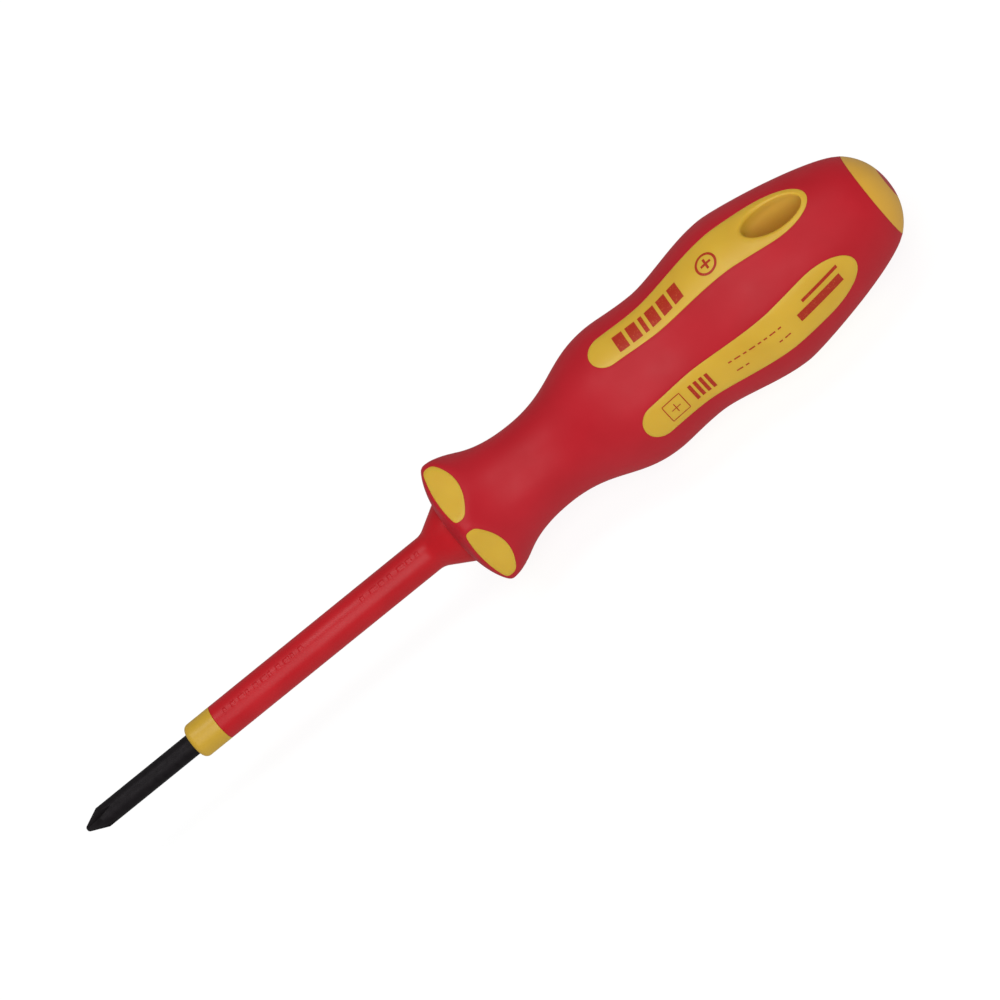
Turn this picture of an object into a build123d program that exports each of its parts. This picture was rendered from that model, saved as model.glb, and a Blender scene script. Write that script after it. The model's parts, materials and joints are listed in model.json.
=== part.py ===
from build123d import *
import math
import os

# Insulated screwdriver with a size 0 cross tip, in millimetres.
# X is the tool's axis: x = 0 is the end of the tip and +X runs towards the end cap.
# Z is the axis of the hanging hole. Five grip strips and five hilt flats are spaced
# evenly round X. The first strip faces +Z, and the flats are turned a little from the strips.

# --- blade ---------------------------------------------------------------
shank_radius = 1.5            # 3 mm round bar
tip_end_radius = 0.4          # blunt end of the cross tip
tip_edge = 0.12               # chamfer on that blunt end
tip_half_angle = 24.0         # degrees, the point's cone from its axis
flute_count = 4
flute_root = 0.32             # from the axis to a flute's bottom at the tip
flute_length = 4.6            # where a flute's bottom runs out of the bar
flute_roll = 13.0             # degrees round X of the first flute, from +Z towards -Y
blade_hold = 43.6             # length of bar held behind the hilt's front face
blade_end_chamfer = 0.4
ear_height = 0.9              # staked ears that stop the blade turning, above the bar
ear_width = 1.1
ear_length = 6.0
ear_slope = 1.2
ear_pair_starts = (24.6, 33.6)  # behind the hilt's face

# --- sheath --------------------------------------------------------------
bare_length = 18.0            # bare metal ahead of the insulation
collar_length = 4.4           # inner layer left showing as a warning collar
collar_edge = 0.8             # rounding of the collar's front
inner_sheath_wall = 0.5
outer_sheath_wall = 0.5
inner_sheath_hold = 16.6      # length of the inner layer behind the hilt's front face
root_radius = 4.6             # where the sheath's cone meets the hilt
cone_length = 3.7
tail_radius = 3.2             # sheath inside the handle
tail_length = 9.5
tail_groove_depth = 0.45
tail_groove_width = 1.6

# --- handle outline ------------------------------------------------------
# Distances are behind the hilt's front face. The outline is level where it is widest or
# narrowest, and each of those places has a reach: how far the curve holds level there.
blade_reach = 61.4            # tip to the hilt's front face
face_back = 0.3               # the grip starts this far behind it, round the sheath's root
face_radius = 5.0             # flat part of the grip's front
face_lean, face_rise = 0.2, 1.8
rim_at, rim_radius, rim_lead, rim_reach = 2.65, 9.5, 0.9, 2.5
waist_at, waist_radius, waist_lead, waist_reach = 14.0, 6.3, 8.0, 7.1
bulge_at, bulge_radius, bulge_lead, bulge_reach = 29.4, 9.7, 6.6, 1.6
dip_at, dip_radius, dip_lead, dip_reach = 36.1, 9.3, 2.8, 3.4
palm_at, palm_radius, palm_lead, palm_reach = 48.9, 11.2, 4.6, 2.4
cap_at, cap_radius, cap_lead = 67.8, 6.2, 3.0
cap_length = 2.7
cap_slope = 0.85              # fall of the outline where the cap starts
hilt_flat_radius = 8.1        # from the axis to a hilt flat
hilt_turn = 3.1               # degrees round X of the first flat, from +Z towards -Y
side_count = 5                # strips, and hilt flats, round the handle

# --- soft grip and its windows -------------------------------------------
grip_wall = 1.4
window_margin = 0.2           # between a hilt window and the end of its flat
window_front = 1.65           # behind the hilt's face
window_length = 3.65
window_front_bow = 0.5
window_rear_bow = 1.7
strip_start = 27.9            # behind the hilt's face
strip_end = 61.95
strip_front_half = 2.42
strip_middle_at, strip_middle_half = 42.9, 2.9
strip_wide_at, strip_wide_half = 55.1, 3.47

# --- hanging hole --------------------------------------------------------
hole_at = 57.0                # behind the hilt's face
hole_length = 8.3             # at the mouth in the first strip
hole_width = 4.6
hole_draft = 0.2              # the hole is narrower by this all round from its middle down

# --- handle core: places behind the hilt's face --------------------------
core_front = 4.6
core_rear = 46.6
core_neck_radius = 3.9
core_neck_rear = 19.6
core_flat_radius = 5.0        # five-sided rear part, from the axis to a flat
core_corner = 1.2
core_shoulder = 3.0
core_groove_depth = 0.6
core_groove_width = 2.4
core_groove_places = (26.6, 33.1, 39.6)
neck_groove_depth = 0.4
neck_groove_width = 1.0
neck_groove_places = (13.1, 16.6)

# --- end cap and badge ---------------------------------------------------
spigot_radius = 3.4
spigot_length = 3.8
snap_height = 0.25
snap_width = 1.0
snap_at = 2.0                 # from the cap's seat to the middle of its snap bead
cap_clearance = 0.05
badge_radius = 2.2
badge_depth = 0.9
badge_pin_radius = 0.8
badge_pin_length = 2.0
badge_clearance = 0.03

# --- places worked out from the sizes above ------------------------------
inner_sheath_radius = shank_radius + inner_sheath_wall
sheath_radius = inner_sheath_radius + outer_sheath_wall
collar_end = bare_length + collar_length
cone_start = blade_reach - cone_length
grip_face = blade_reach + face_back
body_face = grip_face + grip_wall
cap_seat = blade_reach + cap_at
tool_length = cap_seat + cap_length
hole_x = blade_reach + hole_at
blade_length = blade_reach + blade_hold
inner_sheath_end = blade_reach + inner_sheath_hold
core_start = blade_reach + core_front
core_end = blade_reach + core_rear
core_neck_end = blade_reach + core_neck_rear
beyond = 2.0 * palm_radius    # longer than anything that a cutter must clear

os.makedirs("parts", exist_ok=True)


def turned(*path):
    """Solid of revolution round X, from edges and points (x, radius) in order round its section."""
    edges = []
    here = None
    for step in path:
        if isinstance(step, tuple):
            if here is not None:
                edges.append(Line(here, step))
            here = step
        else:
            if here is not None and (Vector(*here) - (step @ 0)).length > 1e-6:
                edges.append(Line(here, step @ 0))
            edges.append(step)
            here = tuple(step @ 1)[:2]
    edges.append(Line(here, path[0]))
    return revolve(make_face(edges), Axis.X)


def tube(start, end, outer, inner=0.0):
    """Plain tube, or a rod where inner is 0, between two places on X."""
    return turned((start, inner), (start, outer), (end, outer), (end, inner))


def round_axis(solid, count, first=0.0):
    """The same solid, count times, evenly spaced round X."""
    return [Rot(X=first + 360.0 * i / count) * solid for i in range(count)]


def handle_outline(inset):
    """Curves of the handle from its front face to the cap seat, moved inwards by inset."""
    level = (
        (rim_at, rim_radius, rim_lead, rim_reach),
        (waist_at, waist_radius, waist_lead, waist_reach),
        (bulge_at, bulge_radius, bulge_lead, bulge_reach),
        (dip_at, dip_radius, dip_lead, dip_reach),
        (palm_at, palm_radius, palm_lead, palm_reach),
    )
    here = (grip_face + inset, face_radius - inset)
    leaving = (here[0] + face_lean, here[1] + face_rise)
    curves = []
    for at, radius, lead, reach in level:
        place = (blade_reach + at, radius - inset)
        arriving = (place[0] - lead, place[1])
        curves.append(Bezier(here, leaving, arriving, place))
        here = place
        leaving = (place[0] + reach, place[1])
    seat = (cap_seat, cap_radius - inset)
    arriving = (seat[0] - cap_lead, seat[1] + cap_lead * cap_slope)
    curves.append(Bezier(here, leaving, arriving, seat))
    return curves


def handle_block(inset):
    """Solid handle, with its hilt flats, up to the cap seat."""
    block = turned((grip_face + inset, 0.0), *handle_outline(inset), (cap_seat, 0.0))
    flat = Box(waist_at + 1.0, beyond, beyond, align=(Align.MIN, Align.CENTER, Align.MIN))
    flat = Pos(blade_reach - 1.0, 0, hilt_flat_radius - inset) * flat
    return block - round_axis(flat, side_count, first=hilt_turn)


def strip_window():
    """Prism of one grip strip, standing on the axis towards +Z."""
    front = blade_reach + strip_start
    middle = blade_reach + strip_middle_at
    wide = blade_reach + strip_wide_at
    rear = blade_reach + strip_end
    nose = front + strip_front_half
    side = Spline(
        [(nose, strip_front_half), (middle, strip_middle_half), (wide, strip_wide_half)],
        tangents=[(1, 0), (1, 0)],
    )
    end = EllipticalCenterArc((wide, 0), rear - wide, strip_wide_half, start_angle=0, arc_size=90)
    nose_arc = CenterArc((nose, 0), strip_front_half, 90, 90)
    half = [nose_arc, side, end, Line((front, 0), (rear, 0))]
    face = make_face(half)
    return extrude(face + mirror(face, Plane.XZ), beyond)


def hilt_window():
    """Prism of one hilt window, standing on the axis towards +Z."""
    half = math.sqrt(rim_radius**2 - hilt_flat_radius**2) - window_margin
    front = blade_reach + window_front
    rear = front + window_length
    outline = [
        ThreePointArc((front + window_front_bow, -half), (front, 0), (front + window_front_bow, half)),
        Line((front + window_front_bow, half), (rear - window_rear_bow, half)),
        ThreePointArc((rear - window_rear_bow, half), (rear, 0), (rear - window_rear_bow, -half)),
        Line((rear - window_rear_bow, -half), (front + window_front_bow, -half)),
    ]
    return extrude(make_face(outline), beyond)


def hanging_hole():
    """Oval cutter along Z: it narrows from the first strip to the axis, then goes straight on."""
    middle = Ellipse(hole_length / 2 - hole_draft, hole_width / 2 - hole_draft)
    mouth = Pos(0, 0, palm_radius) * Ellipse(hole_length / 2, hole_width / 2)
    upper = loft([middle, mouth]) + extrude(mouth, palm_radius)
    return Pos(hole_x, 0, 0) * (upper + extrude(middle, -beyond))


def make_blade():
    """Round bar with a cross tip in front and staked ears behind."""
    run = shank_radius - tip_end_radius
    shoulder = tip_edge + run / math.tan(math.radians(tip_half_angle))
    bar = turned(
        (0.0, 0.0),
        (0.0, tip_end_radius - tip_edge),
        (tip_edge, tip_end_radius),
        (shoulder, shank_radius),
        (blade_length - blade_end_chamfer, shank_radius),
        (blade_length, shank_radius - blade_end_chamfer),
        (blade_length, 0.0),
    )
    slope = math.degrees(math.atan2(shank_radius - flute_root, flute_length))
    corner = Box(2 * flute_length, beyond, beyond, align=Align.MIN)
    flute = Rot(X=45) * Pos(-flute_length / 2, 0, 0) * corner
    flute = Pos(0, 0, flute_root) * Rot(Y=-slope) * flute
    bar -= round_axis(flute, flute_count, first=flute_roll)
    top = shank_radius + ear_height
    for number, place in enumerate(ear_pair_starts):
        start = blade_reach + place
        outline = Polyline(
            (start, 0), (start, shank_radius - ear_width / 4), (start + ear_slope, top),
            (start + ear_length - ear_slope, top), (start + ear_length, shank_radius - ear_width / 4),
            (start + ear_length, 0), close=True,
        )
        ear = extrude(make_face(outline), ear_width / 2, both=True)
        bar += round_axis(ear, 2, first=90.0 * number)
    return bar


def make_inner_sheath():
    """Warning-colour layer moulded on the bar, thicker where it shows as the collar."""
    corner = (bare_length, sheath_radius - collar_edge)
    edge = CenterArc((bare_length + collar_edge, sheath_radius - collar_edge), collar_edge, 180, -90)
    return turned(
        (bare_length, shank_radius), corner, edge, (collar_end, sheath_radius),
        (collar_end, inner_sheath_radius), (inner_sheath_end, inner_sheath_radius),
        (inner_sheath_end, shank_radius),
    )


def make_outer_sheath():
    """Outer layer with the cone that meets the hilt and a grooved tail inside the handle."""
    tail_end = body_face + tail_length
    sheath = turned(
        (collar_end, inner_sheath_radius), (collar_end, sheath_radius), (cone_start, sheath_radius),
        (blade_reach, root_radius), (body_face, root_radius), (body_face, tail_radius),
        (tail_end, tail_radius), (tail_end, inner_sheath_radius),
    )
    for third in (1, 2):
        place = body_face + tail_length * third / 3
        half = tail_groove_width / 2
        sheath -= tube(place - half, place + half, tail_radius + 1, tail_radius - tail_groove_depth)
    return sheath


def core_block():
    """Outside of the core: a round neck, a shoulder and a five-sided rear with ring grooves."""
    corner_radius = core_flat_radius / math.cos(math.pi / side_count)
    section = RegularPolygon(corner_radius, side_count, rotation=90.0)
    section = fillet(section.vertices(), core_corner)
    rear_start = core_neck_end + core_shoulder
    rear = extrude(Plane.YZ.offset(rear_start) * section, core_end - rear_start)
    shoulder = turned(
        (core_neck_end, 0.0), (core_neck_end, core_neck_radius),
        (rear_start, core_flat_radius), (rear_start, 0.0),
    )
    block = tube(core_start, core_neck_end, core_neck_radius) + shoulder + rear
    for place in core_groove_places:
        middle = blade_reach + place
        half = core_groove_width / 2
        block -= tube(middle - half, middle + half, beyond, core_flat_radius - core_groove_depth)
    for place in neck_groove_places:
        middle = blade_reach + place
        half = neck_groove_width / 2
        block -= tube(middle - half, middle + half, beyond, core_neck_radius - neck_groove_depth)
    return block


def make_cap():
    """Domed end cap with a snap-in spigot and a recess for the badge."""
    mouth = (cap_seat, cap_radius)
    bow = (cap_seat + cap_length * 0.48, cap_radius * 0.77)
    dome = Spline([mouth, bow, (tool_length, 0.0)], tangents=[(1, -cap_slope), (0, -1)])
    half = snap_width / 2
    bead = cap_seat - snap_at
    return turned(
        (cap_seat - spigot_length, 0.0), (cap_seat - spigot_length, spigot_radius),
        (bead - half, spigot_radius), (bead, spigot_radius + snap_height), (bead + half, spigot_radius),
        (cap_seat, spigot_radius), mouth, dome,
    )


def badge_block(clearance):
    """Badge's room in the cap, or the badge itself where a clearance is given."""
    floor = tool_length - badge_depth
    disc = tube(floor, tool_length + 1.0, badge_radius - clearance)
    pin = tube(floor - badge_pin_length + clearance, floor, badge_pin_radius - clearance)
    return disc + pin


def cap_socket():
    """Room for the cap's spigot and snap bead in the handle body."""
    radius = spigot_radius + cap_clearance
    half = snap_width / 2 + cap_clearance
    bead = cap_seat - snap_at
    bottom = cap_seat - spigot_length - cap_clearance
    return turned(
        (bottom, 0.0), (bottom, radius), (bead - half, radius), (bead, radius + snap_height),
        (bead + half, radius), (cap_seat + 1.0, radius), (cap_seat + 1.0, 0.0),
    )


blade = make_blade()
inner_sheath = make_inner_sheath()
outer_sheath = make_outer_sheath()
whole_cap = make_cap()
end_cap = whole_cap - badge_block(0.0)
cap_badge = whole_cap & badge_block(badge_clearance)

outside = handle_block(0.0)
strips = round_axis(strip_window(), side_count)
hilt_windows = round_axis(hilt_window(), side_count, first=hilt_turn)
pads = [outside & window for window in strips + hilt_windows]
body_block = handle_block(grip_wall) + pads

core_outside = core_block()
hole = hanging_hole()
handle_core = core_outside - blade - inner_sheath - outer_sheath
handle_body = body_block - core_outside - outer_sheath - inner_sheath - blade - cap_socket() - hole
soft_grip = outside - body_block - tube(0.0, body_face, root_radius) - hole

nodes = {
    "blade": blade,
    "inner_sheath": inner_sheath,
    "outer_sheath": outer_sheath,
    "handle_core": handle_core,
    "handle_body": handle_body,
    "soft_grip": soft_grip,
    "end_cap": end_cap,
    "cap_badge": cap_badge,
}
for name, shape in nodes.items():
    export_step(shape, f"parts/{name}.step")
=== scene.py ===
"""Looks of an insulated screwdriver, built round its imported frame.

The blade, sheath, handle and print are classes that hold their sizes in millimetres and make their
own meshes. The core, end cap and badge keep the frame's meshes and get a finish. Places along the
tool come from the frame's own boxes. X is the tool's axis, from the tip at 0 to the end cap, and the
angle round it is counted from +Z towards +Y.
"""

import json
import logging
import math
from dataclasses import dataclass, field
from enum import Enum
from typing import Any, Callable, Iterable, Sequence

import bmesh
import bpy
import numpy as np
from mathutils import Matrix, Vector
from mathutils.geometry import delaunay_2d_cdt


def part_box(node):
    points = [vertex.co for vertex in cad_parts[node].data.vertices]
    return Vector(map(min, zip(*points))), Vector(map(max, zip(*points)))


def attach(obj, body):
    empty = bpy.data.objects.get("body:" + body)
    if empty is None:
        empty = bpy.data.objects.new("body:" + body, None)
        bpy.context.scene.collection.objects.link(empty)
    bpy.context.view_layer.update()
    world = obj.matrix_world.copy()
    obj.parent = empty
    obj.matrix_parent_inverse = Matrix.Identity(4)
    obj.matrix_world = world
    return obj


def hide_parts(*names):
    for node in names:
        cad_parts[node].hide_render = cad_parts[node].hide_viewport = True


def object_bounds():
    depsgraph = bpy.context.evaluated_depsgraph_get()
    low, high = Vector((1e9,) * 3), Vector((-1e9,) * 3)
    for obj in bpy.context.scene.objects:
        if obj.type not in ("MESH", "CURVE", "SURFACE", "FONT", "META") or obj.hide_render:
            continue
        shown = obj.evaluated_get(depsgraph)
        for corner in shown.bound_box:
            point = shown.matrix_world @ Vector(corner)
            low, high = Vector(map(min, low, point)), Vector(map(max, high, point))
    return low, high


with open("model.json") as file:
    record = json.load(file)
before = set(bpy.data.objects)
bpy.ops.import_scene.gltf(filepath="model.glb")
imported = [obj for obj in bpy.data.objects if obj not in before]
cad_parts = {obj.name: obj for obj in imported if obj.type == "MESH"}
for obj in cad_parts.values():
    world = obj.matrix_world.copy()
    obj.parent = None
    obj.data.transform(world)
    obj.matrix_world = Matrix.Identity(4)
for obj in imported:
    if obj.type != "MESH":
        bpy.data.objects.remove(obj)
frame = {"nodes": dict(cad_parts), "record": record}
CAD_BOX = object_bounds()
LOG = logging.getLogger("insulated_screwdriver")

MM = 0.001                    # metres in a millimetre
SIDES = 5                     # grip strips, and hilt flats, round the handle
SIDE_STEP = math.tau / SIDES
BAR_RADIUS = 1.5              # of the blade's bar, and of the bore of what is moulded on it
GRIP_WALL = 1.4               # thickness of the soft grip
FACE_BACK = 0.3               # from the hilt's face, where the sheath's cone ends, to the grip's front
NOISE_SPAN = (0.3, 0.7)       # values that Blender's noise mostly stays between
SAME = 1e-9                   # millimetres: closer than this is the same place
WELD = 1e-7                   # metres: points closer than this become one
SLIVER = 1e-8                 # metres: edges shorter than this are dissolved
Point2 = tuple[float, float]


def low_x(node: str) -> float:
    """Where a frame node starts along the tool, in millimetres."""
    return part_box(node)[0].x / MM


def high_x(node: str) -> float:
    """Where a frame node ends along the tool, in millimetres."""
    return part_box(node)[1].x / MM


def polar(x: float, radius: float, angle: float) -> Vector:
    """A point at an angle round the tool."""
    return Vector((x, radius * math.sin(angle), radius * math.cos(angle)))


# --------------------------------------------------------------------------------------
# Materials
# --------------------------------------------------------------------------------------


def linear(code: str) -> tuple[float, float, float, float]:
    """Turn an sRGB hex colour into linear light.

    Args:
        code: Six hex digits after a hash sign.

    Returns:
        Red, green, blue and an alpha of 1.
    """
    parts = [int(code[i:i + 2], 16) / 255 for i in (1, 3, 5)]
    red, green, blue = [c / 12.92 if c <= 0.04045 else ((c + 0.055) / 1.055) ** 2.4 for c in parts]
    return red, green, blue, 1.0


def add_node(tree: bpy.types.NodeTree, kind: str, inputs: dict[str | int, Any] | None = None,
             **settings: Any) -> bpy.types.Node:
    """Add a node, set it and link it.

    Args:
        tree: The material's node tree.
        kind: Blender's name of the node type.
        inputs: By the input socket's name or number, a constant or the output socket that feeds it.
        settings: Attributes of the node.

    Returns:
        The new node.
    """
    made = tree.nodes.new(kind)
    for name, value in settings.items():
        setattr(made, name, value)
    for socket, value in (inputs or {}).items():
        if isinstance(value, bpy.types.NodeSocket):
            tree.links.new(value, made.inputs[socket])
        else:
            made.inputs[socket].default_value = value
    return made


@dataclass(frozen=True)
class Pattern:
    """Noise of a real size, on object coordinates, for colour, gloss or relief."""

    size_mm: float                # about how wide its blobs are
    detail: float = 2.0
    along: float = 1.0            # under 1, the blobs are drawn out along the tool

    def draw(self, tree: bpy.types.NodeTree) -> bpy.types.NodeSocket:
        """Draw the noise as it is."""
        place = add_node(tree, "ShaderNodeTexCoord").outputs["Object"]
        if self.along != 1.0:
            drawn = add_node(tree, "ShaderNodeMapping", {"Vector": place, "Scale": (self.along, 1.0, 1.0)})
            place = drawn.outputs["Vector"]
        made = add_node(tree, "ShaderNodeTexNoise", {
            "Vector": place, "Scale": 1 / (self.size_mm * MM), "Detail": self.detail, "Roughness": 0.55})
        return made.outputs["Fac"]

    def between(self, tree: bpy.types.NodeTree, low: float, high: float,
                span: Point2 = NOISE_SPAN) -> bpy.types.NodeSocket:
        """Draw the noise, with a span of its values stretched to run from low to high."""
        made = add_node(tree, "ShaderNodeMapRange", {
            "Value": self.draw(tree), "From Min": span[0], "From Max": span[1],
            "To Min": low, "To Max": high})
        return made.outputs["Result"]


Reliefs = tuple[tuple[Pattern, float], ...]     # patterns and their depths in millimetres, lowest first


@dataclass(frozen=True)
class Finish:
    """A surface made one way: its cloudy colour, uneven gloss and fine relief.

    Each kind of surface below is a subclass with its own values.
    """

    name: str
    colour: str
    cloud: str                           # the colour's other end
    clouding: Pattern = Pattern(7.0)
    cloud_span: Point2 = NOISE_SPAN      # values of the noise between which the colour turns
    roughness: float = 0.4
    gloss: Pattern = Pattern(2.2)
    glossier: float = 0.04               # how far the roughness goes under its own value
    duller: float = 0.05                 # and over it
    reliefs: Reliefs = ()
    specular: float = 0.35
    ior: float = 1.5
    metallic: float = 0.0
    glow: float = 0.0                    # share of light that scatters inside
    glow_mm: float = 1.5
    glow_colour: tuple[float, float, float] = (1.0, 0.5, 0.12)

    def build(self) -> bpy.types.Material:
        """Make the material, with its nodes, and return it."""
        material = bpy.data.materials.new(self.name)
        material.use_nodes = True
        tree = material.node_tree
        tree.nodes.clear()
        cloud = self.clouding.between(tree, 0.0, 1.0, self.cloud_span)
        colour = add_node(tree, "ShaderNodeMix", {
            0: cloud, 6: linear(self.colour), 7: linear(self.cloud)}, data_type="RGBA")
        gloss = self.gloss.between(tree, self.roughness - self.glossier, self.roughness + self.duller)
        normal: dict[str | int, Any] = {}
        for pattern, depth in self.reliefs:
            bump = add_node(tree, "ShaderNodeBump", {
                "Strength": 1.0, "Distance": depth * MM, "Height": pattern.draw(tree), **normal})
            normal = {"Normal": bump.outputs["Normal"]}
        shader = add_node(tree, "ShaderNodeBsdfPrincipled", {
            "Base Color": self.tint(tree, colour.outputs[2]), "Roughness": gloss, "IOR": self.ior,
            "Specular IOR Level": self.specular, "Metallic": self.metallic,
            "Subsurface Weight": self.glow, "Subsurface Radius": self.glow_colour,
            "Subsurface Scale": self.glow_mm * MM, **normal})
        add_node(tree, "ShaderNodeOutputMaterial", {"Surface": shader.outputs["BSDF"]})
        return material

    def tint(self, tree: bpy.types.NodeTree, colour: bpy.types.NodeSocket) -> bpy.types.NodeSocket:
        """Change the colour from place to place. Plain surfaces leave it."""
        return colour


@dataclass(frozen=True)
class MouldedPlastic(Finish):
    """Hard plastic from a mould whose walls were spark-eroded to a fine grain.

    The grain gives broad soft highlights, and the faint cloud in the colour is pigment that
    did not mix fully. The grain is coarser than a real one of 0.03 mm, so that it shows.
    """

    colour: str = "#cba431"
    cloud: str = "#c49c2c"
    reliefs: Reliefs = ((Pattern(0.16, 1.0), 0.004),)


@dataclass(frozen=True)
class HoleWallPaintedLightPlastic(MouldedPlastic):
    """The same plastic inside the hanging hole, with light painted into its colour.

    It is painted lighter and warmer with depth, a painted brightening that keeps the hole from looking
    black.
    """

    # painted light: the lighter, warmer colour that the hole's wall is painted towards with depth
    painted_light_colour: str = "#eabf53"
    painted_light_from_mm: float = 10.2
    painted_light_to_mm: float = 7.8

    def tint(self, tree: bpy.types.NodeTree, colour: bpy.types.NodeSocket) -> bpy.types.NodeSocket:
        """Paint light in: turn lighter and warmer below the hole's mouth."""
        place = add_node(tree, "ShaderNodeTexCoord").outputs["Object"]
        height = add_node(tree, "ShaderNodeSeparateXYZ", {"Vector": place}).outputs["Z"]
        depth = add_node(tree, "ShaderNodeMapRange", {
            "Value": height, "From Min": self.painted_light_from_mm * MM, "From Max": self.painted_light_to_mm * MM})
        painted_light_mix = add_node(tree, "ShaderNodeMix", {
            0: depth.outputs["Result"], 6: colour, 7: linear(self.painted_light_colour)}, data_type="RGBA")
        return painted_light_mix.outputs[2]


@dataclass(frozen=True)
class SoftTouchElastomer(Finish):
    """Thermoplastic elastomer moulded over a hard body, with a soft-touch skin.

    The skin scatters light, so highlights are wide and dull. The mould's flow leaves long soft
    swirls, and handling an uneven gloss. The grain is coarser than the real skin, so that it shows.
    """

    colour: str = "#ae1623"
    cloud: str = "#a6131f"
    clouding: Pattern = Pattern(9.0, 3.0)
    roughness: float = 0.5
    gloss: Pattern = Pattern(3.5, 3.0)
    glossier: float = 0.05
    duller: float = 0.07
    reliefs: Reliefs = ((Pattern(0.22), 0.006),)
    specular: float = 0.24
    ior: float = 1.48


@dataclass(frozen=True)
class ExtrudedPolyamide(Finish):
    """Polyamide drawn over the bar and left off the die: smoother and glossier than the grip.

    It is drawn lengthways, so its faint waves run along the tool and break up the highlight.
    """

    colour: str = "#b0141d"
    cloud: str = "#a71019"
    clouding: Pattern = Pattern(6.0)
    roughness: float = 0.36
    gloss: Pattern = Pattern(1.3, along=0.22)
    duller: float = 0.06
    reliefs: Reliefs = ((Pattern(0.14, 1.0), 0.002), (Pattern(1.3, along=0.22), 0.012))
    specular: float = 0.22
    ior: float = 1.53


@dataclass(frozen=True)
class BlackenedSteel(Finish):
    """Hardened tool steel, ground lengthways and blackened in a hot oxide bath.

    The oxide is nearly black with a dull metal glint, fine lines run along the bar, and the
    point's edges are rubbed a little brighter.
    """

    colour: str = "#141113"
    cloud: str = "#1c191b"
    clouding: Pattern = Pattern(0.8, 3.0)
    roughness: float = 0.46
    gloss: Pattern = Pattern(0.09, along=0.06)
    glossier: float = 0.08
    duller: float = 0.1
    reliefs: Reliefs = ((Pattern(0.09, along=0.06), 0.004),)
    specular: float = 0.1
    metallic: float = 0.22
    rubbed: str = "#272426"
    rubbing: Pattern = Pattern(0.35, 3.0)
    rub_end_mm: float = 3.2              # how far from the tip the rubbing reaches
    rub_most: float = 0.8

    def tint(self, tree: bpy.types.NodeTree, colour: bpy.types.NodeSocket) -> bpy.types.NodeSocket:
        """Rub the point brighter in patches."""
        place = add_node(tree, "ShaderNodeTexCoord").outputs["Object"]
        along = add_node(tree, "ShaderNodeSeparateXYZ", {"Vector": place}).outputs["X"]
        near = add_node(tree, "ShaderNodeMapRange", {
            "Value": along, "From Max": self.rub_end_mm * MM, "To Min": 1.0, "To Max": 0.0})
        rub = add_node(tree, "ShaderNodeMath", {
            0: near.outputs["Result"], 1: self.rubbing.between(tree, 0.0, self.rub_most)},
            operation="MULTIPLY")
        worn = add_node(tree, "ShaderNodeMix", {
            0: rub.outputs["Value"], 6: colour, 7: linear(self.rubbed)}, data_type="RGBA")
        return worn.outputs[2]


@dataclass(frozen=True)
class PadPrint(Finish):
    """Pad-printed ink on plastic: thin, even and a little glossier, with specks of thinner ink."""

    colour: str = "#a02612"
    cloud: str = "#b34f26"
    clouding: Pattern = Pattern(0.18)
    cloud_span: Point2 = (0.58, 0.7)
    roughness: float = 0.38
    gloss: Pattern = Pattern(0.5)
    duller: float = 0.06
    specular: float = 0.25


class Finishes:
    """Every finish of the tool, made once."""

    def __init__(self) -> None:
        """Make the materials."""
        self.blade = BlackenedSteel("blackened_steel_ground").build()
        self.collar = MouldedPlastic("warning_layer_moulded", "#bf992d", "#b99329", roughness=0.38).build()
        self.sheath = ExtrudedPolyamide("sheath_polyamide_drawn").build()
        self.body = MouldedPlastic("handle_polypropylene_moulded", glow=0.3).build()
        self.grip = SoftTouchElastomer("grip_elastomer_overmoulded").build()
        self.cap = MouldedPlastic("cap_polypropylene_moulded", "#d5a339", "#ce9c33", roughness=0.36).build()
        # the hole's wall has painted light: its colour is painted lighter and warmer with depth
        self.hole = HoleWallPaintedLightPlastic("hole_wall_polypropylene_painted_light", glow=0.3).build()
        self.badge = MouldedPlastic("badge_plastic_moulded", "#b3212b", "#a91c27", roughness=0.34).build()
        self.core = MouldedPlastic("core_glass_filled_moulded", "#3a3a3c", "#303032", roughness=0.62,
                                   reliefs=((Pattern(0.16, 1.0), 0.02),)).build()
        self.ink = PadPrint("ink_pad_printed").build()


# --------------------------------------------------------------------------------------
# Mesh drafts
# --------------------------------------------------------------------------------------


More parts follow.
